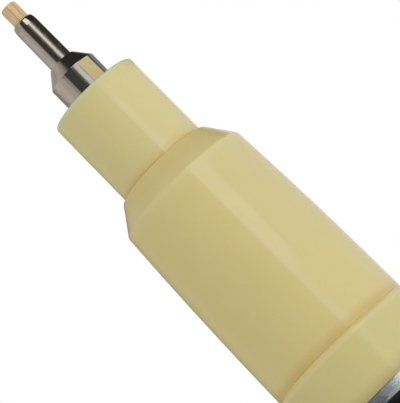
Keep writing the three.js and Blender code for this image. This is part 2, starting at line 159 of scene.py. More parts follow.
def heightsOf(node):
    low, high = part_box(node)
    return low.z, high.z


# Heights that the pieces share, read from the frame
skirtEnd, noseFace = heightsOf("front_section")
barrelBottom, barrelTop = heightsOf("barrel")
sleeveRear, sleeveMouth = heightsOf("tip_sleeve")
nibRear, nibTip = heightsOf("nib")
capEnd, capMouth = heightsOf("cap_shell")
springLow, springHigh = heightsOf("valve_spring")

# The camera at the photograph's viewing angle: it stands below the tip and looks a little up at it
photoView = {
    "upward": 8.12,                 # degrees above level
    "roll": -44.56,                 # degrees; lays the marker across the picture's corner
    "distance": 240.96 * mm,
    "nearest": 10 * mm,             # nothing closer to the camera is drawn
    "aim": 142.075 * mm,            # height of the point on the axis that the next two shift
    "aimRight": -2.804 * mm,
    "aimUp": 2.777 * mm,
    "lens": 357.3,
    "sensor": 36,
}


def placeCamera():
    tilt = math.radians(photoView["upward"])
    roll = math.radians(photoView["roll"])
    ahead = Vector((0, math.cos(tilt), math.sin(tilt)))
    level = Vector((1, 0, 0))
    upright = Vector((0, -math.sin(tilt), math.cos(tilt)))
    right = math.cos(roll) * level + math.sin(roll) * upright
    up = -math.sin(roll) * level + math.cos(roll) * upright
    aim = Vector((0, 0, photoView["aim"]))
    offset = photoView["aimRight"] * right + photoView["aimUp"] * up + photoView["distance"] * ahead
    data = bpy.data.cameras.new("photoCamera")
    data.lens = photoView["lens"]
    data.sensor_width = photoView["sensor"]
    data.clip_start = photoView["nearest"]
    camera = bpy.data.objects.new("photoCamera", data)
    turn = Matrix((right, up, -ahead)).transposed().to_4x4()
    camera.matrix_world = Matrix.Translation(aim - offset) @ turn
    scene.collection.objects.link(camera)
    scene.camera = camera


placeCamera()
scene.view_settings.view_transform = "Standard"

# The studio: white surroundings, a large lamp with a weak fill, and a wall that only reflections see
studio = {
    "surroundings": 0.66,           # strength of the world for light; what the camera sees of it is white
    "floorColour": (0.93, 0.93, 0.92),
    "floorRoughness": 0.7,
    "floorSize": 0.9,
    "floorGap": 0.02 * mm,
    "lampTurn": 36,                 # degrees from the camera's side, -Y, towards +X
    "lampRise": 14,                 # degrees above level
    "lampDistance": 0.8,
    "lampWidth": 0.34,
    "lampHeight": 0.51,
    "lampPower": 2.3,
    "fillTurn": -120,
    "fillPower": 1.7,
    "wallRadius": 30 * mm,
    "wallTop": 190 * mm,
    "wallSides": 96,
    "zoneBlend": 0.25 * mm,
    "ceilingLeft": 0.49,            # strengths of the ceiling's light from left to right
    "ceilingMiddle": 0.2,
    "ceilingRight": 0.03,
    "ceilingFade": -9 * mm,         # where its left side dims, along X
    "ceilingFadeBlend": 20 * mm,
    "ceilingEdge": -2.2 * mm,       # where its dark side begins
    "ceilingBlend": 10 * mm,
}

# Tints of the light on the wall and the ceiling
tints = {
    "plain": (1.0, 1.0, 1.0),
    "white": (1.0, 0.99, 0.97),
    "warm": (1.0, 0.945, 0.86),
    "cool": (0.93, 1.0, 1.12),
    "steel": (0.94, 1.02, 1.06),
    "mauve": (0.94, 0.90, 0.98),
    "honey": (1.0, 0.93, 0.72),
    "lampLight": (1.0, 0.985, 0.9),
    "sky": (0.76, 1.0, 1.5),
    "cream": (0.86, 0.72, 0.37),
    "paleCream": (0.84, 0.76, 0.44),
}

# Bands of light at each height of the wall, from the back left round to the back right. Each band has
# the turn of the reflection where it starts (two turns where its edge slants up), its softness, tint
# and strength. The radius is that of the surface that reflects this height.
plasticStart = [
    (-181, 1, "honey", 0.16),
    (-140, 16, "warm", 0.25),
    (-33, 6, "white", 0.035),
]
plasticEnd = (125, 20, "mauve", 0.8)
sleeveStart = [
    (-181, 1, "warm", 0.26),
    (-132, 16, "warm", 0.42),
    (-113, 20, "warm", 0.57),
    (-70, 14, "warm", 0.48),
    (-45, 10, "warm", 0.36),
    (-31, 6, "white", 0.06),
    (10, 8, "white", 0.13),
    (21, 8, "lampLight", 0.74),
]
sleeveEnd = (124, 5, "mauve", 0.3)
wallZones = [
    {"low": 0, "radius": 5.4 * mm, "bands": [           # black barrel and cap
        (-181, 1, "white", 0.5),
        (-140, 20, "warm", 0.35),
        (-36, 10, "white", 0.01),
        (20, 5, "cool", 1.3),
        (42, 6, "white", 0.55),
        (80, 30, "white", 0.3),
        (140, 20, "mauve", 0.6),
    ]},
    {"low": 123.02 * mm, "radius": 5.4 * mm, "bands": [  # bare ring
        (-181, 1, "white", 0.7),
        (-36, 20, "steel", 0.76),
        (-4, 14, "steel", 1.6),
        (12, 10, "steel", 2.35),
        (20, 6, "white", 2.5),
        (42, 6, "white", 1.1),
    ]},
    {"low": 123.9 * mm, "radius": 5.5 * mm, "bands": [  # collar
        *plasticStart,
        (26, 2.5, "cool", 1.25),
        (37.5, 3, "white", 0.8),
        plasticEnd,
    ]},
    {"low": 128.5 * mm, "radius": 4.95 * mm, "bands": [  # rear of the grip
        *plasticStart,
        (22.5, 2, "sky", 1.2),
        (36.5, 3, "white", 0.85),
        plasticEnd,
    ]},
    {"low": 135 * mm, "radius": 4.75 * mm, "bands": [   # front of the grip
        *plasticStart,
        (22.5, 2, "sky", 1.75),
        ((44, 51.5), 3, "sky", 0.7),
        plasticEnd,
    ]},
    {"low": 145.9 * mm, "radius": 3.1 * mm, "bands": [  # nose
        *plasticStart,
        (22.4, 2, "sky", 1.5),
        (38.5, 2, "white", 0.85),
        plasticEnd,
    ]},
    {"low": 150.6 * mm, "radius": 3.1 * mm, "bands": [  # front of the nose, where the lamp's strip fades
        *plasticStart,
        (22.4, 2, "sky", 1.0),
        (38.5, 2, "white", 0.85),
        plasticEnd,
    ]},
    {"low": 152.05 * mm, "radius": 1.67 * mm, "bands": [  # body of the metal sleeve
        *sleeveStart,
        (43, 1.5, "cool", 0.2),
        (46, 1.5, "cream", 0.93),
        (114, 3, "white", 0.08),
        sleeveEnd,
    ]},
    {"low": 153.6 * mm, "radius": 1.67 * mm, "bands": [  # its front, where the cream pales
        *sleeveStart,
        (41.5, 1.5, "cool", 0.2),
        (44.5, 1.5, "paleCream", 1.0),
        (112, 3, "white", 0.08),
        sleeveEnd,
    ]},
    {"low": 155.3 * mm, "radius": 0.8 * mm, "bands": [  # tube of the metal sleeve
        (-181, 1, "warm", 0.30),
        (-150, 20, "warm", 0.42),
        (-115, 20, "warm", 0.55),
        (-70, 14, "warm", 0.5),
        (-45, 10, "warm", 0.36),
        (-33, 6, "white", 0.05),
        (12, 10, "white", 0.15),
        (27, 9, "lampLight", 0.88),
        (53, 12, "white", 0.2),
        (68, 8, "white", 0.04),
        (150, 10, "white", 0.3),
    ]},
    {"low": 161 * mm, "radius": 0, "bands": [           # upward faces: lip, cones, rounded edges
        (-181, 1, "warm", 0.42),
        (-66, 12, "warm", 0.5),
        (-33, 10, "white", 0.05),
        (12, 9, "lampLight", 1.2),
        (56, 14, "white", 0.03),
        (155, 8, "mauve", 0.24),
    ]},
]


def paintLight(name, recipe):
    # The recipe gets a board and returns the colour of the light
    material = bpy.data.materials.new(name)
    material.use_nodes = True
    material.node_tree.nodes.clear()
    board = Board(material.node_tree)
    light = board.add("ShaderNodeEmission", {}, {"Color": board.colour(recipe(board))})
    board.add("ShaderNodeOutputMaterial", {}, {"Surface": light})
    return material


def linkMesh(name, points, faces, material):
    mesh = bpy.data.meshes.new(name)
    mesh.from_pydata(points, [], faces)
    mesh.materials.append(material)
    piece = bpy.data.objects.new(name, mesh)
    scene.collection.objects.link(piece)
    return piece


def linkSheet(name, half, height, material):
    corners = ((-half, -half), (half, -half), (half, half), (-half, half))
    return linkMesh(name, [(x, y, height) for x, y in corners], [(0, 1, 2, 3)], material)


def hideFromAllButReflections(card):
    card.visible_camera = False
    card.visible_diffuse = False
    card.visible_shadow = False
    card.visible_transmission = False


def turnOnWall(turn, radius):
    # Where a reflection with this turn, off a surface of this radius, meets the wall
    sideways = radius / studio["wallRadius"] * math.sin(math.radians(turn / 2))
    return turn - math.degrees(math.asin(sideways))


def tinted(tint, strength):
    return tuple(strength * c for c in tints[tint])


def wallLight(board):
    # The wall's colour for each turn round the marker and each height
    place = board.place()
    x = board.part(place, "X")
    y = board.part(place, "Y")
    height = board.part(place, "Z")
    turn = x.maths("ARCTAN2", x, 0 - y) * (180 / math.pi)
    tops = [zone["low"] for zone in wallZones[1:]] + [studio["wallTop"]]
    wall = (0, 0, 0)
    for zone, top in zip(wallZones, tops):
        low = zone["low"]
        ring = (0, 0, 0)
        for start, softness, tint, strength in zone["bands"]:
            if isinstance(start, tuple):
                atLow, atTop = (turnOnWall(edge, zone["radius"]) for edge in start)
                start = atLow + (height - low) * ((atTop - atLow) / (top - low))
            else:
                start = turnOnWall(start, zone["radius"])
            ring = board.mix(turn.above(start, softness), ring, tinted(tint, strength))
        wall = board.mix(height.above(low, studio["zoneBlend"]), wall, ring)
    return wall


def standWall():
    points = []
    for i in range(studio["wallSides"]):
        turn = 2 * math.pi * i / studio["wallSides"]
        x = studio["wallRadius"] * math.cos(turn)
        y = studio["wallRadius"] * math.sin(turn)
        points += [(x, y, 0), (x, y, studio["wallTop"])]
    count = len(points)
    faces = [(k, (k + 2) % count, (k + 3) % count, k + 1) for k in range(0, count, 2)]
    hideFromAllButReflections(linkMesh("wall", points, faces, paintLight("wallLight", wallLight)))


def ceilingLight(board):
    # Grey over the left side, which dims towards the middle, and dark over the right
    x = board.part(board.place(), "X")
    left = tinted("warm", studio["ceilingLeft"])
    middle = tinted("warm", studio["ceilingMiddle"])
    right = tinted("plain", studio["ceilingRight"])
    grey = board.mix(x.above(studio["ceilingFade"], studio["ceilingFadeBlend"]), left, middle)
    return board.mix(x.above(studio["ceilingEdge"], studio["ceilingBlend"]), grey, right)


def hangCeiling():
    light = paintLight("ceilingLight", ceilingLight)
    hideFromAllButReflections(linkSheet("ceiling", studio["wallRadius"], studio["wallTop"], light))


def hangLamp(name, turn, power):
    away = Vector((
        math.sin(math.radians(turn)) * math.cos(math.radians(studio["lampRise"])),
        -math.cos(math.radians(turn)) * math.cos(math.radians(studio["lampRise"])),
        math.sin(math.radians(studio["lampRise"])),
    ))
    data = bpy.data.lights.new(name, "AREA")
    data.shape = "RECTANGLE"
    data.size = studio["lampWidth"]
    data.size_y = studio["lampHeight"]
    data.energy = power
    lamp = bpy.data.objects.new(name, data)
    lamp.location = Vector((0, 0, collarFront)) + away * studio["lampDistance"]
    lamp.rotation_euler = away.to_track_quat("Z", "Y").to_euler()
    lamp.visible_glossy = False
    scene.collection.objects.link(lamp)


def setStudio():
    world = bpy.data.worlds.new("whiteRoom")
    world.use_nodes = True
    world.node_tree.nodes.clear()
    scene.world = world
    board = Board(world.node_tree)
    seen = board.add("ShaderNodeLightPath", output="Is Camera Ray")
    seen = seen + board.add("ShaderNodeLightPath", output="Is Glossy Ray")
    seen = seen + board.add("ShaderNodeLightPath", output="Is Transmission Ray")
    shown = board.add("ShaderNodeClamp", {}, {0: seen})
    strength = studio["surroundings"] + shown * (1 - studio["surroundings"])
    background = board.add("ShaderNodeBackground", {}, {"Color": (1, 1, 1, 1), "Strength": strength})
    board.add("ShaderNodeOutputWorld", {}, {"Surface": background})

    pale = {"Base Color": (*studio["floorColour"], 1), "Roughness": studio["floorRoughness"]}
    paint = makeMaterial("floorPaint", lambda board: pale)
    linkSheet("floor", studio["floorSize"], -studio["floorGap"], paint)

    hangLamp("softLamp", studio["lampTurn"], studio["lampPower"])
    hangLamp("fillLamp", studio["fillTurn"], studio["fillPower"])
    standWall()
    hangCeiling()


# Sizes of the front section, which the looks below also read
frontSizes = {
    "collarLength": 3.94 * mm,
    "collarRadius": 5.5 * mm,
    "collarFillet": 0.465 * mm,
    "gripLength": 13.5 * mm,
    "gripRear": 5.03 * mm,
    "gripFront": 4.585 * mm,
    "gripBulge": 0.08 * mm,
    "shoulderLength": 1.7 * mm,
    "shoulderFillet": 0.34 * mm,
    "stepRadius": 3.39 * mm,
    "stepFillet": 0.12 * mm,
    "creaseFillet": 0.12 * mm,
    "noseLength": 6.195 * mm,
    "noseRadius": 3.11 * mm,
    "noseDraft": 0.02 * mm,
    "noseFillet": 0.17 * mm,
    "rimChamfer": 0.08 * mm,
    "noseBore": 1.73 * mm,
    "guideBore": 2.5 * mm,
    "ledgeDepth": 4 * mm,
    "caseBore": 3.635 * mm,
    "wall": 0.95 * mm,
    "skirtRadius": 4.97 * mm,
    "skirtChamfer": 0.35 * mm,
}
crease = noseFace - frontSizes["noseLength"]
shoulderBase = crease - frontSizes["shoulderLength"]
collarFront = shoulderBase - frontSizes["gripLength"]
collarRear = collarFront - frontSizes["collarLength"]

setStudio()
print("studio: camera, floor, lamp and cards are set")


# Looks of the cream plastic; some of these shades are painted light and shade for the front section
creamShades = {
    "grip": (0.628, 0.534, 0.242),
    # painted shade: the cone is darker because it faces up, away from the lamp
    "cone": (0.595, 0.493, 0.218),
    "nose": (0.626, 0.547, 0.268),
    # painted light: the nose's front edge paled as if lit through its thin wall
    "edge": (0.53, 0.54, 0.33),
    "pale": (0.66, 0.57, 0.28),
    # painted shade: golden darkening in the crease between nose and cone
    "crease": (0.64, 0.44, 0.12),
    # painted shade: the grip darkens golden into its corner against the collar
    "paintedCollarCornerShade": (0.57, 0.40, 0.118),
    # painted shade: a narrow golden line in the inner corners at the collar and the crease
    "paintedCornerShade": (0.69, 0.54, 0.19),
    # painted light: lifts the dark lines in the inner corners and at the collar's rear chamfer
    "lit": (0.98, 0.76, 0.30),
    # painted light: paler rims by the shoulder and a painted highlight on the collar's front fillet
    "paintedRimLight": (0.64, 0.60, 0.37),
    "collar": (0.583, 0.512, 0.236),
    # painted shade: the collar darkens towards the black barrel behind it
    "paintedRearShade": (0.20, 0.13, 0.03),
}


def moulded(board, roughness, grain):
    # What every moulded surface shares: a faint unevenness of gloss and an orange-peel bump
    place = board.place()
    cloud = board.noise(place, 420, 3)
    fine = board.noise(place, 5200, 2)
    gloss = roughness * (0.7 + cloud * 0.4 + fine * 0.2)
    normal = board.bump(cloud * 0.8 + fine * 0.2, grain)
    return place, cloud, gloss, normal


def creamBase(board, base):
    place, cloud, gloss, normal = moulded(board, 0.15, 0.004 * mm)
    mottled = board.mix(cloud.above(0.55, 0.5) * 0.22, base(board, place), creamShades["pale"])
    return {
        "Base Color": mottled,
        "Roughness": gloss,
        "Normal": normal,
        "IOR": 1.47,
        "Subsurface Weight": 0.6,
        "Subsurface Radius": (1.0, 0.75, 0.35),
        "Subsurface Scale": 0.8 * mm,
    }


def creamPlastic(board):
    return creamBase(board, lambda board, place: creamShades["grip"])


# Painted light and shade laid over the front section in turn: shade, height of its middle, reach,
# strength there, power of its fall, and whether it lies only above its middle. Painted light pales the
# nose's front edge, the rim at the shoulder and the collar's front fillet. Painted golden shade darkens
# the inner corners, painted light lifts their darkest lines, and painted shade darkens the collar towards
# the barrel behind it.
frontPaintedLightAndShade = [
    ("edge", noseFace, 0.7 * mm, 1, 1, False),
    ("paintedRimLight", shoulderBase, 0.9 * mm, 0.28, 1, False),
    ("crease", crease, 0.55 * mm, 0.7, 1, True),
    ("paintedCollarCornerShade", collarFront, 0.72 * mm, 0.8, 1, True),
    ("paintedRimLight", collarFront - 0.38 * mm, 0.2 * mm, 0.36, 1, False),
    ("paintedCornerShade", collarFront + 0.07 * mm, 0.18 * mm, 0.6, 1, False),
    ("paintedCornerShade", crease, 0.1 * mm, 0.6, 1, False),
    ("lit", collarFront + 0.015 * mm, 0.09 * mm, 0.09, 1, False),
    ("lit", crease, 0.05 * mm, 0.18, 1, False),
    ("paintedRearShade", collarRear, 1.1 * mm, 0.58, 2, False),
    ("lit", collarRear + 0.01 * mm, 0.1 * mm, 0.3, 1, False),
]


def frontShade(board, place):
    # Nose, grip and collar differ a little, the cone is darker as painted shade, and the painted light
    # and shade come over them
    height = board.part(place, "Z")
    # the cone's colour carries painted shade
    shade = board.mix(height.above(shoulderBase, 0.2 * mm), creamShades["grip"], creamShades["cone"])
    shade = board.mix(height.above(crease, 0.1 * mm), shade, creamShades["nose"])
    shade = board.mix(height.above(collarFront, 0.1 * mm), creamShades["collar"], shade)
    # lay the painted light and shade over the zones' colours, in turn
    for name, middle, reach, strength, power, onlyAbove in frontPaintedLightAndShade:
        share = height.near(middle, reach) ** power * strength
        if onlyAbove:
            share = share * height.above(middle + 0.02 * mm, 0.03 * mm)
        shade = board.mix(share, shade, creamShades[name])
    return shade


def frontPlastic(board):
    return creamBase(board, frontShade)


def whitePlastic(board):
    place, cloud, gloss, normal = moulded(board, 0.42, 0.015 * mm)
    shade = board.mix(cloud.above(0.5, 0.6) * 0.4, (0.79, 0.775, 0.715), (0.711, 0.6975, 0.6435))
    return {
        "Base Color": shade,
        "Roughness": gloss,
        "Normal": normal,
        "Subsurface Weight": 0.15,
        "Subsurface Radius": (1.0, 0.8, 0.6),
        "Subsurface Scale": 0.4 * mm,
    }


def sealRubber(board):
    place = board.place()
    dust = board.noise(place, 2600, 4, 0.65)
    worn = board.noise(place, 500, 2)
    shade = board.mix(dust.above(0.6, 0.25) * 0.5, (0.022, 0.022, 0.023), (0.075, 0.073, 0.07))
    return {
        "Base Color": shade,
        "Roughness": 0.72 + worn * 0.18,
        "Normal": board.bump(dust, 0.02 * mm),
    }


def slotDistance(x, y, radius, pairs, spread, start):
    # Distance round the nib from its nearest feed slot, for wires of a shader or of a geometry tree
    angle = x.maths("ARCTAN2", y, x) * (180 / math.pi)
    sector = 360 / pairs
    offset = (angle - start + sector / 2) % sector - sector / 2
    return abs(abs(offset) - spread / 2) * (math.pi / 180) * radius


def nibPlastic(board, radius, pairs, spread, start, slotHalf):
    # Pale lengthwise streaks from the extrusion, and painted golden shade in the feed slots
    place = board.place()
    apart = slotDistance(board.part(place, "X"), board.part(place, "Y"), radius, pairs, spread, start)
    slot = 1 - apart.above(2 * slotHalf, 3 * slotHalf)
    streaks = board.noise(board.stretch(place, 1, 1, 0.04), 5200, 4, 0.6)
    mottle = board.noise(place, 1500, 3)
    shade = board.mix(streaks.above(0.5, 0.5), (0.57, 0.42, 0.235), (0.645, 0.505, 0.30))
    shade = board.mix(mottle.above(0.6, 0.3) * 0.25, shade, (0.72, 0.59, 0.39))
    return {
        # painted shade: the feed slots darken golden
        "Base Color": board.mix(slot * 0.9, shade, (0.60, 0.39, 0.17)),
        "Roughness": 0.5 + (streaks - 0.5) * 0.2,
        "Normal": board.bump(streaks, 0.003 * mm),
        "Subsurface Weight": 0.4,
        "Subsurface Radius": (1.0, 0.7, 0.4),
        "Subsurface Scale": 0.3 * mm,
    }


def drawnNickel(board):
    # Polished plating over faint lengthwise draw lines, with a few small marks
    place = board.place()
    lines = board.noise(board.stretch(place, 1, 1, 0.03), 9000, 3, 0.7)
    haze = board.noise(place, 900, 3)
    marks = board.noise(board.stretch(place, 1, 1, 0.35), 4200, 2).above(0.66, 0.08)
    worn = board.noise(place, 1700, 4, 0.65).above(0.56, 0.2)
    shade = board.mix(haze, (0.70, 0.655, 0.59), (0.64, 0.60, 0.545))
    return {
        "Base Color": board.mix(marks * 0.35, shade, (0.46, 0.43, 0.40)),
        "Metallic": 1.0,
        "Roughness": 0.06 + lines * 0.05 + worn * 0.06 + marks * 0.16,
        "Normal": board.bump(lines * 0.7 + haze * 0.3, 0.002 * mm),
    }


def barrelSkin(board, ringLow):
    # Black lacquer over aluminium, with the ring at the collar left bare and turned
    place = board.place()
    height = board.part(place, "Z")
    ragged = board.noise(board.stretch(place, 1, 1, 0.1), 1400, 3)
    bare = (height + (ragged - 0.5) * 0.05 * mm).above(ringLow, 0.03 * mm)
    turned = board.noise(board.stretch(place, 0.03, 0.03, 1), 16000, 3, 0.7)
    smudge = board.noise(place, 3600, 4, 0.7)
    dust = board.noise(place, 2600, 4, 0.7).above(0.68, 0.1)
    ripple = board.noise(place, 260, 2)
    dull = turned * 0.5 + smudge.above(0.5, 0.24) * 0.5
    metal = board.mix(dull, (0.62, 0.63, 0.635), (0.44, 0.45, 0.46))
    lacquer = board.mix(dust * 0.5, (0.0012, 0.0012, 0.001), (0.01, 0.01, 0.0102))
    lacquerGloss = 0.06 + ripple * 0.06 + dust * 0.12
    metalGloss = 0.1 + turned * 0.04 + smudge * 0.1
    return {
        "Base Color": board.mix(bare, lacquer, metal),
        "Metallic": bare,
        "Roughness": lacquerGloss + bare * (metalGloss - lacquerGloss),
        "Normal": board.bump(turned * bare * 0.3 + ripple * 0.4, 0.005 * mm),
    }


def springWire(board):
    place = board.place()
    drawn = board.noise(board.stretch(place, 1, 1, 3), 6000, 3, 0.6)
    haze = board.noise(place, 900, 2)
    return {
        "Base Color": board.mix(drawn, (0.58, 0.585, 0.60), (0.42, 0.425, 0.44)),
        "Metallic": 1.0,
        "Roughness": 0.24 + haze * 0.14,
        "Normal": board.bump(drawn, 0.004 * mm),
    }


def ballSteel(board):
    # Ground steel with fine scratches from its travel
    place = board.place()
    haze = board.noise(place, 600, 3)
    scratches = board.noise(board.stretch(place, 1, 0.08, 0.3), 7000, 2).above(0.66, 0.08)
    return {
        "Base Color": board.mix(scratches * 0.6, (0.60, 0.605, 0.615), (0.38, 0.385, 0.39)),
        "Metallic": 1.0,
        "Roughness": 0.12 + haze * 0.1 + scratches * 0.2,
        "Normal": board.bump(scratches, 0.002 * mm),
    }


# Turned pieces: an outline of (radius, height) points goes round the axis
def arc(radius, height, bend, fromDegrees, toDegrees, steps=8):
    points = []
    for i in range(steps + 1):
        angle = math.radians(fromDegrees + (toDegrees - fromDegrees) * i / steps)
        points.append((radius + bend * math.cos(angle), height + bend * math.sin(angle)))
    return points


def corner(radius, height, bend, fromDegrees, toDegrees, steps=8):
    # Rounds the corner at (radius, height) between two faces whose outward normals have these angles
    middle = math.radians(fromDegrees + toDegrees) / 2
    depth = bend / math.cos(math.radians(fromDegrees - toDegrees) / 2)
    inward = (radius - depth * math.cos(middle), height - depth * math.sin(middle))
    return arc(*inward, bend, fromDegrees, toDegrees, steps)


def outerWall(radius, low, high, edge, steps=4):
    # The outside of a wall from low to high, with both edges rounded
    return corner(radius, low, edge, -90, 0, steps) + corner(radius, high, edge, 0, 90, steps)


def innerWall(radius, low, high, edge, steps=4):
    # The bore of a wall from high down to low, with both edges rounded
    return corner(radius, high, edge, 90, 180, steps) + corner(radius, low, edge, 180, 270, steps)


def braced(outline, reach=0.03 * mm):
    # Adds a point close to each end of a long side, so that smooth shading bends only there
    points = []
    for start, end in zip(outline, outline[1:] + outline[:1]):
        points.append(start)
        length = math.dist(start, end)
        if length > 4 * reach and max(start[0], end[0]) > 0:
            for share in (reach / length, 1 - reach / length):
                points.append(tuple(a + (b - a) * share for a, b in zip(start, end)))
    return points


def turnMesh(name, outline, steps):
    # The outline closes on itself or runs from the axis back to it; a point on the axis is one vertex
    build = bmesh.new()
    rings = []
    for radius, height in braced(outline):
        if radius <= 0:
            rings.append([build.verts.new((0, 0, height))] * steps)
            continue
        ring = []
        for i in range(steps):
            turn = 2 * math.pi * i / steps
            ring.append(build.verts.new((radius * math.cos(turn), radius * math.sin(turn), height)))
        rings.append(ring)
    for low, high in zip(rings, rings[1:] + rings[:1]):
        for i in range(steps):
            k = (i + 1) % steps
            around = dict.fromkeys([low[i], low[k], high[k], high[i]])
            if len(around) > 2:
                build.faces.new(list(around))
    bmesh.ops.recalc_face_normals(build, faces=build.faces)
    mesh = bpy.data.meshes.new(name)
    build.to_mesh(mesh)
    build.free()
    return mesh


def finishPiece(mesh, node, body, material, sharpAngle=32):
    # Smooth shading with its corners kept, then the piece takes the node's place on its body
    mesh.materials.clear()
    mesh.materials.append(material)
    mesh.shade_smooth()
    mesh.set_sharp_from_angle(angle=math.radians(sharpAngle))
    piece = bpy.data.objects.new(node + "_look", mesh)
    scene.collection.objects.link(piece)
    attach(piece, body)
    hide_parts(node)
    print("made:", node)
    return piece


def turnPiece(outline, node, body, material, steps=192, sharpAngle=32):
    finishPiece(turnMesh(node + "_look", outline, steps), node, body, material, sharpAngle)


def makeFrontSection():
    s = frontSizes
    coneAngle = math.degrees(math.atan2(s["gripFront"] - s["stepRadius"], s["shoulderLength"]))
    gripSpread = s["gripRear"] - s["gripFront"]
    gripAngle = math.degrees(math.atan2(gripSpread + 4 * s["gripBulge"], s["gripLength"]))
    grip = []
    gripSteps = 60
    for i in range(1, gripSteps):
        share = i / gripSteps
        bulge = 4 * s["gripBulge"] * share * (1 - share)
        radius = s["gripFront"] + gripSpread * share + bulge
        grip.append((radius, shoulderBase - s["gripLength"] * share))
    noseFront = s["noseRadius"] - s["noseDraft"]
    hollow = s["creaseFillet"]
    outside = [
        (s["noseBore"] + s["rimChamfer"], noseFace),
        *corner(noseFront, noseFace, s["noseFillet"], 90, 0),
        *arc(s["noseRadius"] + hollow, crease + hollow, hollow, 180, 270, 5),
        *corner(s["stepRadius"], crease, s["stepFillet"], 90, coneAngle),
        *corner(s["gripFront"], shoulderBase, s["shoulderFillet"], coneAngle, gripAngle),
        *grip,
        (s["gripRear"], collarFront),
        *corner(s["collarRadius"], collarFront, s["collarFillet"], 90, 0),
        (s["collarRadius"], collarRear + s["rimChamfer"]),
        (s["collarRadius"] - s["rimChamfer"], collarRear),
        (s["skirtRadius"], collarRear),
        (s["skirtRadius"], skirtEnd + s["skirtChamfer"]),
        (s["skirtRadius"] - s["skirtChamfer"], skirtEnd),
    ]
    boreShoulder = shoulderBase - s["wall"]
    ledge = noseFace - s["ledgeDepth"]
    inside = [
        (s["caseBore"], skirtEnd),
        (s["caseBore"], boreShoulder),
        (s["guideBore"], boreShoulder + s["caseBore"] - s["guideBore"]),
        (s["guideBore"], ledge),
        (s["noseBore"], ledge),
        (s["noseBore"], noseFace - s["rimChamfer"]),
    ]
    look = makeMaterial("frontPlastic", frontPlastic)
    turnPiece(outside + inside, "front_section", "marker", look)


makeFrontSection()

sleeveSizes = {
    "mouth": 0.66 * mm,
    "tube": 0.8 * mm,
    "tubeDraft": 0.017 * mm,
    "lipLength": 0.58 * mm,
    "tubeLength": 3.47 * mm,
    "tubeStep": 0.934 * mm,
    "coneLength": 0.945 * mm,
    "body": 1.67 * mm,
    "wall": 0.2 * mm,
    "nibBore": 0.584 * mm,
    "edge": 0.05 * mm,              # the small round on the drawn edges
}


def makeTipSleeve():
    s = sleeveSizes
    tubeEnd = sleeveMouth - s["tubeLength"]
    bodyFront = tubeEnd - s["coneLength"]
    coneAngle = math.degrees(math.atan2(s["body"] - s["tubeStep"], s["coneLength"]))
    tubeFront = s["tube"] - s["tubeDraft"]
    lip = []
    lipSteps = 12
    for i in range(lipSteps + 1):
        angle = math.pi / 2 * (1 - i / lipSteps)
        radius = s["mouth"] + (tubeFront - s["mouth"]) * math.cos(angle)
        lip.append((radius, sleeveMouth - s["lipLength"] * (1 - math.sin(angle))))
    outline = [
        *lip,
        (s["tube"], tubeEnd),
        *corner(s["tubeStep"], tubeEnd, s["edge"], 90, coneAngle, 4),
        *corner(s["body"], bodyFront, s["edge"], coneAngle, 0, 4),
        (s["body"], sleeveRear),
        (s["body"] - s["wall"], sleeveRear),
        (s["body"] - s["wall"], bodyFront - s["wall"]),
        (s["nibBore"], tubeEnd - s["wall"] - s["coneLength"] / 2),
        (s["nibBore"], sleeveMouth),
    ]
    look = makeMaterial("drawnNickel", drawnNickel)
    turnPiece(outline, "tip_sleeve", "tip", look, steps=160, sharpAngle=24)


makeTipSleeve()

barrelSizes = {
    "radius": 5.42 * mm,
    "wall": 0.42 * mm,
    "lacquer": 0.03 * mm,
    "ring": 0.8 * mm,
    "ringEdge": 0.01 * mm,
    "closer": 0.02 * mm,            # the barrel reaches this much nearer to the collar than in the CAD
    "edge": 0.15 * mm,
}


def makeBarrel():
    s = barrelSizes
    bore = s["radius"] - s["wall"]
    lacquered = s["radius"] + s["lacquer"]
    low = barrelBottom
    high = barrelTop + s["closer"]
    half = s["edge"] / 2
    outline = [
        (bore, low),
        *corner(lacquered, low, s["edge"], -90, 0, 6),
        *corner(lacquered, high - s["ring"], s["lacquer"], 0, 90, 4),
        *corner(s["radius"], high, s["ringEdge"], 0, 90, 4),
        (bore + half, high),
        (bore, high - half),
    ]
    look = makeMaterial("barrelSkin", barrelSkin, ringLow=high - s["ring"] + s["lacquer"] / 3)
    turnPiece(outline, "barrel", "marker", look)


makeBarrel()

plugSizes = {
    "postLength": 9 * mm,
    "postRadius": 5.03 * mm,
    "postWall": 0.95 * mm,
    "postFloor": 1 * mm,
    "postEdge": 0.6 * mm,
    "flangeHeight": 2 * mm,
    "flangeRadius": 5.42 * mm,
    "flangeFillet": 0.3 * mm,
    "flangeGap": 0.02 * mm,         # between the flange and the cap's mouth
    "plugRadius": 4.87 * mm,
    "plugLength": 7 * mm,
    "ribCount": 2,
    "ribHeight": 0.1 * mm,
    "ribSteps": 8,
    "edge": 0.35 * mm,
}


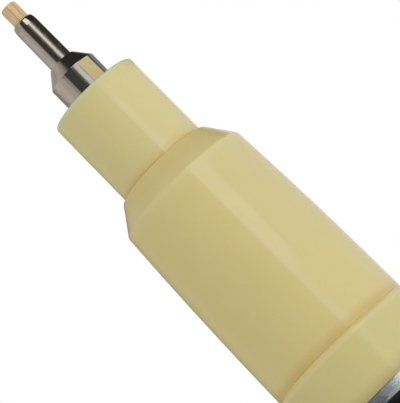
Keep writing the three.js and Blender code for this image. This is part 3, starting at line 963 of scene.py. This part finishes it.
def makeTailPlug():
    s = plugSizes
    postBottom = capMouth - s["postLength"]
    flangeTop = capMouth + s["flangeHeight"]
    flangeLow = capMouth + s["flangeGap"]
    plugTop = flangeTop + s["plugLength"]
    bore = s["postRadius"] - s["postWall"]
    ribs = []
    for k in range(1, s["ribCount"] + 1):
        height = flangeTop + s["plugLength"] * k / (s["ribCount"] + 1)
        for i in range(s["ribSteps"] + 1):
            rise = math.pi * i / s["ribSteps"]
            ribs.append((
                s["plugRadius"] + s["ribHeight"] * math.sin(rise),
                height - 2 * s["ribHeight"] * math.cos(rise),
            ))
    inner = s["postEdge"]
    outline = [
        (0, postBottom),
        *corner(s["postRadius"], postBottom, inner, -90, 0),
        (s["postRadius"], flangeLow),
        *corner(s["flangeRadius"], flangeLow, s["flangeFillet"], -90, 0),
        (s["flangeRadius"], flangeTop),
        (s["plugRadius"], flangeTop),
        *ribs,
        (s["plugRadius"], plugTop - s["edge"]),
        (s["plugRadius"] - s["edge"], plugTop),
        (bore, plugTop),
        (bore, postBottom + s["postFloor"] + inner),
        (bore - inner, postBottom + s["postFloor"]),
        (0, postBottom + s["postFloor"]),
    ]
    turnPiece(outline, "tail_plug", "marker", creamLook)


creamLook = makeMaterial("creamPlastic", creamPlastic)
makeTailPlug()

capSizes = {
    "mouthRadius": 5.9 * mm,
    "endRadius": 5.6 * mm,
    "endWall": 1.5 * mm,
    "endFillet": 0.6 * mm,
    "mouthRound": 0.27 * mm,
    "bore": 5.08 * mm,
    "linerMouth": 20.4 * mm,
    "linerSocket": 4.58 * mm,
    "clipLength": 29 * mm,
    "clipWidth": 3.4 * mm,
    "clipThickness": 1.15 * mm,
    "clipGap": 1.25 * mm,
    "clipRoot": 3.6 * mm,
    "clipStart": 1.4 * mm,
    "clipSink": 0.35 * mm,
    "beadGap": 0.25 * mm,
    "beadInset": 0.5 * mm,
    "clipEdge": 0.28 * mm,
    "clipEdgeSteps": 4,
    "clipEdgeAngle": 50,            # degrees; sharper edges than this are rounded
}


def curve(start, bend, end, steps=10):
    # A quadratic curve between two points, without its start
    points = []
    for i in range(1, steps + 1):
        t = i / steps
        points.append(tuple(
            (1 - t) ** 2 * a + 2 * t * (1 - t) * b + t ** 2 * c for a, b, c in zip(start, bend, end)
        ))
    return points


def clipSide():
    # Side view of the clip as (distance from the axis, height): root, arm and a bead near the cap's mouth
    s = capSizes
    wall = s["endRadius"] - s["clipSink"]
    inner = s["mouthRadius"] + s["clipGap"]
    outer = inner + s["clipThickness"]
    start = s["clipStart"]
    top = start + s["clipLength"]
    bead = s["clipGap"] - s["beadGap"]
    beadHeight = top - bead - s["beadInset"]
    web = start + s["clipRoot"]
    return [
        (wall, start),
        (inner, start),
        *curve((inner, start), (outer, start), (outer, start + s["clipThickness"])),
        (outer, top - bead),
        *curve((outer, top - bead), (outer, top), (inner, top)),
        *arc(inner, beadHeight, bead, 90, 270, 16),
        (inner, web + s["clipGap"] / 2),
        *curve((inner, web + s["clipGap"] / 2), (inner, web), (wall, web)),
    ]


def makeClip():
    # The side view has width along X and stands off the cap on -Y; its edges are rounded
    build = bmesh.new()
    half = capSizes["clipWidth"] / 2
    sides = [[build.verts.new((x, -r, z)) for r, z in clipSide()] for x in (-half, half)]
    count = len(sides[0])
    build.faces.new(sides[0])
    build.faces.new(reversed(sides[1]))
    for i in range(count):
        k = (i + 1) % count
        build.faces.new((sides[0][i], sides[1][i], sides[1][k], sides[0][k]))
    bmesh.ops.recalc_face_normals(build, faces=build.faces)
    mesh = bpy.data.meshes.new("clip")
    build.to_mesh(mesh)
    build.free()
    clip = bpy.data.objects.new("clip", mesh)
    scene.collection.objects.link(clip)
    soft = clip.modifiers.new("edges", "BEVEL")
    soft.width = capSizes["clipEdge"]
    soft.segments = capSizes["clipEdgeSteps"]
    soft.limit_method = "ANGLE"
    soft.angle_limit = math.radians(capSizes["clipEdgeAngle"])
    return clip


def evaluatedMesh(piece):
    bpy.context.view_layer.update()
    graph = bpy.context.evaluated_depsgraph_get()
    return bpy.data.meshes.new_from_object(piece.evaluated_get(graph))


def makeCap():
    s = capSizes
    outline = [
        (0, capEnd),
        *corner(s["endRadius"], capEnd, s["endFillet"], -90, 0, 10),
        *corner(s["mouthRadius"], capMouth, s["mouthRound"], 0, 90),
        (s["bore"] + s["mouthRound"], capMouth),
        (s["bore"], capMouth - s["mouthRound"]),
        (s["bore"], s["linerMouth"] + s["bore"] - s["linerSocket"]),
        (s["linerSocket"], s["linerMouth"]),
        (s["linerSocket"], s["endWall"]),
        (0, s["endWall"]),
    ]
    shell = bpy.data.objects.new("shell", turnMesh("shell", outline, steps=160))
    scene.collection.objects.link(shell)
    clip = makeClip()
    join = shell.modifiers.new("clip", "BOOLEAN")
    join.operation = "UNION"
    join.solver = "EXACT"
    join.object = clip
    mesh = evaluatedMesh(shell)
    bpy.data.objects.remove(shell)
    bpy.data.objects.remove(clip)
    finishPiece(mesh, "cap_shell", "cap", creamLook)


makeCap()


# Geometry Nodes pieces: each tree has named inputs and ends in Realize Instances and Set Material
def newTree(name, sizes):
    # Each size becomes an input of the tree, and the material is one more
    tree = bpy.data.node_groups.new(name, "GeometryNodeTree")
    for label, size in sizes.items():
        kind = "NodeSocketInt" if isinstance(size, int) else "NodeSocketFloat"
        tree.interface.new_socket(label, in_out="INPUT", socket_type=kind).default_value = size
    tree.interface.new_socket("Material", in_out="INPUT", socket_type="NodeSocketMaterial")
    tree.interface.new_socket("Geometry", in_out="OUTPUT", socket_type="NodeSocketGeometry")
    board = Board(tree)
    entry = tree.nodes.new("NodeGroupInput")
    given = {label: Wire(board, entry.outputs[label]) for label in (*sizes, "Material")}
    return board, given


def closeTree(board, shape, material):
    shape = board.add("GeometryNodeSetShadeSmooth", {}, {0: shape})
    shape = board.add("GeometryNodeRealizeInstances", {}, {0: shape})
    shape = board.add("GeometryNodeSetMaterial", {}, {"Geometry": shape, "Material": material})
    board.add("NodeGroupOutput", {}, {0: shape})
    return board.tree


def growMesh(name, tree, sizes):
    # Runs a tree on an empty object and keeps its result as a plain mesh
    carrier = bpy.data.objects.new(name, bpy.data.meshes.new(name))
    modifier = carrier.modifiers.new("shape", "NODES")
    modifier.node_group = tree
    for item in tree.interface.items_tree:
        if item.in_out == "INPUT" and item.name in sizes:
            modifier[item.identifier] = sizes[item.name]
    scene.collection.objects.link(carrier)
    mesh = evaluatedMesh(carrier)
    bpy.data.objects.remove(carrier)
    return mesh


nibSizes = {
    "Radius": 0.554 * mm,
    "End Radius": 0.42 * mm,
    "End Length": 0.2 * mm,
    "Low": nibRear,
    "High": nibTip,
    "Pairs": 3,
    "Pair Spread": 46.0,            # degrees between the two slots of a pair
    "Pair Start": 45.0,             # degrees from +X to the middle of the first pair
    "Slot Half Width": 0.04 * mm,
    "Slot Depth": 0.045 * mm,
}


def nibTree():
    # A rod whose radius drops in each feed slot and rounds off at the writing end
    board, given = newTree("slottedNib", nibSizes)
    sockets = {"Vertices": 720, "Side Segments": 40, "Radius": 1.0, "Depth": 1.0}
    rod = board.add("GeometryNodeMeshCylinder", {"fill_type": "NGON"}, sockets, "Mesh")
    here = board.add("GeometryNodeInputPosition")
    x = board.part(here, "X")
    y = board.part(here, "Y")
    share = board.part(here, "Z") + 0.5
    straight = board.add("ShaderNodeClamp", {}, {0: share * 2})
    dome = board.add("ShaderNodeClamp", {}, {0: share * 2 - 1}) * (math.pi / 2)
    foot = given["High"] - given["End Length"]
    rise = given["End Length"] * dome.maths("SINE", dome)
    height = given["Low"] + (foot - given["Low"]) * straight + rise
    taper = given["End Radius"] + (given["Radius"] - given["End Radius"]) * dome.maths("COSINE", dome)
    slots = [given[label] for label in ("Radius", "Pairs", "Pair Spread", "Pair Start")]
    apart = slotDistance(x, y, *slots)
    slot = 1 - apart.above(given["Slot Half Width"], given["Slot Half Width"] * 0.8)
    radius = taper - given["Slot Depth"] * slot * (taper / given["Radius"])
    place = board.add("ShaderNodeCombineXYZ", {}, {"X": x * radius, "Y": y * radius, "Z": height})
    shape = board.add("GeometryNodeSetPosition", {}, {"Geometry": rod, "Position": place})
    return closeTree(board, shape, given["Material"])


def makeNib():
    look = makeMaterial(
        "nibPlastic",
        nibPlastic,
        radius=nibSizes["Radius"],
        pairs=nibSizes["Pairs"],
        spread=nibSizes["Pair Spread"],
        start=nibSizes["Pair Start"],
        slotHalf=nibSizes["Slot Half Width"],
    )
    mesh = growMesh("nib_look", nibTree(), {**nibSizes, "Material": look})
    finishPiece(mesh, "nib", "tip", look, sharpAngle=40)


makeNib()

springSizes = {
    "Curls": 10.0,
    "Radius": 1.75 * mm,
    "Wire": 0.2 * mm,
    "End Curls": 1.0,               # curls at each end that lie close together
    "End Pitch": 2.1,               # their rise in each turn, in wire radii
    "Low": springLow,
    "High": springHigh,
}


def springTree():
    # One wire wound into a helix, with its end curls closed up
    board, given = newTree("closedEndSpring", springSizes)
    sockets = {
        "Resolution": 48,
        "Rotations": given["Curls"],
        "Start Radius": given["Radius"],
        "End Radius": given["Radius"],
        "Height": 1.0,
    }
    helix = board.add("GeometryNodeCurveSpiral", {}, sockets)
    here = board.add("GeometryNodeInputPosition")
    x = board.part(here, "X")
    y = board.part(here, "Y")
    share = board.part(here, "Z")
    rise = given["High"] - given["Low"] - given["Wire"] * 2
    ends = given["End Curls"] / given["Curls"]
    slope = given["Wire"] * given["End Pitch"] * given["Curls"] / rise
    middle = board.add("ShaderNodeClamp", {}, {0: (share - ends) / (1 - ends * 2)})
    height = given["Low"] + given["Wire"] + rise * (share * slope + middle * (1 - slope))
    place = board.add("ShaderNodeCombineXYZ", {}, {"X": x, "Y": y, "Z": height})
    path = board.add("GeometryNodeSetPosition", {}, {"Geometry": helix, "Position": place})
    ring = board.add("GeometryNodeCurvePrimitiveCircle", {}, {"Resolution": 14, "Radius": given["Wire"]})
    sockets = {"Curve": path, "Profile Curve": ring, "Fill Caps": True}
    wire = board.add("GeometryNodeCurveToMesh", {}, sockets)
    return closeTree(board, wire, given["Material"])


def makeSpring():
    look = makeMaterial("springWire", springWire)
    mesh = growMesh("valve_spring_look", springTree(), {**springSizes, "Material": look})
    piece = finishPiece(mesh, "valve_spring", "marker", look, sharpAngle=60)
    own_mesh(piece)


makeSpring()


whiteLook = makeMaterial("whitePlastic", whitePlastic)
rubberLook = makeMaterial("sealRubber", sealRubber)

# The valve's case, stem and rubber seat, which share their sizes
valveSizes = {
    "caseRadius": 3.605 * mm,
    "caseWall": 0.72 * mm,
    "caseNose": 0.35 * mm,
    "frontWall": 1 * mm,
    "frontHole": 1.5 * mm,
    "flangeRadius": 4.94 * mm,
    "flangeHeight": 1 * mm,
    "seatRadius": 2.855 * mm,
    "seatHole": 1.15 * mm,
    "seatRound": 0.25 * mm,
    "stemPin": 0.7 * mm,
    "stemHead": 2.1 * mm,
    "stemHeadHeight": 1.4 * mm,
    "stemGuide": 0.8 * mm,
    "stemGuideLength": 4.6 * mm,
    "edge": 0.08 * mm,
}


def makeValveCase():
    s = valveSizes
    low, high = heightsOf("valve_case")
    wallRear = high - s["frontWall"]
    outline = [
        *outerWall(s["flangeRadius"], low, low + s["flangeHeight"], s["edge"]),
        (s["caseRadius"], low + s["flangeHeight"]),
        *corner(s["caseRadius"], high, s["caseNose"], 0, 90),
        *innerWall(s["frontHole"], wallRear, high, s["edge"]),
        (s["caseRadius"] - s["caseWall"], wallRear),
        *corner(s["caseRadius"] - s["caseWall"], low, s["edge"], 180, 270, 4),
    ]
    turnPiece(outline, "valve_case", "marker", whiteLook, steps=144)


def makeValveSeat():
    s = valveSizes
    low, high = heightsOf("valve_seat")
    outline = [
        *outerWall(s["seatRadius"], low, high, s["edge"]),
        *corner(s["seatHole"], high, s["edge"], 90, 180, 4),
        *corner(s["seatHole"], low, s["seatRound"], 180, 270),
    ]
    turnPiece(outline, "valve_seat", "marker", rubberLook, steps=120)


def makeValveStem():
    s = valveSizes
    low, high = heightsOf("valve_stem")
    headLow = low + s["stemGuideLength"]
    headHigh = headLow + s["stemHeadHeight"]
    outline = [
        (0, low),
        *corner(s["stemGuide"], low, s["edge"], -90, 0, 4),
        (s["stemGuide"], headLow),
        *outerWall(s["stemHead"], headLow, headHigh, s["edge"]),
        (s["stemPin"], headHigh),
        *corner(s["stemPin"], high, s["edge"], 0, 90, 4),
        (0, high),
    ]
    turnPiece(outline, "valve_stem", "valve", whiteLook, steps=96)


makeValveCase()
makeValveSeat()
makeValveStem()

sealSizes = {
    "inside": 3.635 * mm,
    "outside": 4.97 * mm,
    "round": 0.15 * mm,
    "roundSteps": 8,
}


def makeSealRing():
    s = sealSizes
    low, high = heightsOf("seal_ring")
    outline = [
        *outerWall(s["outside"], low, high, s["round"], s["roundSteps"]),
        *innerWall(s["inside"], low, high, s["round"] / 2, s["roundSteps"]),
    ]
    turnPiece(outline, "seal_ring", "marker", rubberLook)


makeSealRing()

linerSizes = {
    "radius": 4.55 * mm,
    "bore": 3.19 * mm,
    "lipHeight": 0.06 * mm,
    "lipLength": 0.54 * mm,
    "tipRadius": 2.3 * mm,
    "land": 13.405 * mm,
    "floor": 1 * mm,
    "edge": 0.1 * mm,
}


def makeCapLiner():
    # A sealing cup with a soft lip inside its mouth
    s = linerSizes
    low, high = heightsOf("cap_liner")
    lip = []
    lipSteps = 12
    for i in range(lipSteps + 1):
        share = i / lipSteps
        rise = s["lipHeight"] * math.sin(math.pi * share)
        lip.append((s["bore"] - rise, high - s["edge"] - s["lipLength"] * share))
    outline = [
        (0, low),
        *outerWall(s["radius"], low, high, s["edge"]),
        (s["bore"] + s["edge"], high),
        *lip,
        (s["bore"], s["land"]),
        (s["tipRadius"], s["land"] - (s["bore"] - s["tipRadius"])),
        (s["tipRadius"], low + s["floor"]),
        (0, low + s["floor"]),
    ]
    turnPiece(outline, "cap_liner", "cap", whiteLook, steps=144)


makeCapLiner()


# The last two inner pieces keep their CAD shapes and take the finished plastic
def dressNodes(material, *names):
    for name in names:
        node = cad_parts[name]
        node.data.materials.clear()
        node.data.materials.append(material)
        print("dressed:", name)


dressNodes(whiteLook, "spring_retainer", "nib_holder")

ballSizes = {
    "radius": 3.25 * mm,
    "rows": 90,
    "steps": 96,
}


def makeBall():
    s = ballSizes
    low, high = heightsOf("agitator_ball")
    halfCircle = arc(0, low + s["radius"], s["radius"], -90, 90, s["rows"])[1:-1]
    outline = [(0, low), *halfCircle, (0, high)]
    look = makeMaterial("ballSteel", ballSteel)
    turnPiece(outline, "agitator_ball", "agitator", look, steps=s["steps"])


makeBall()
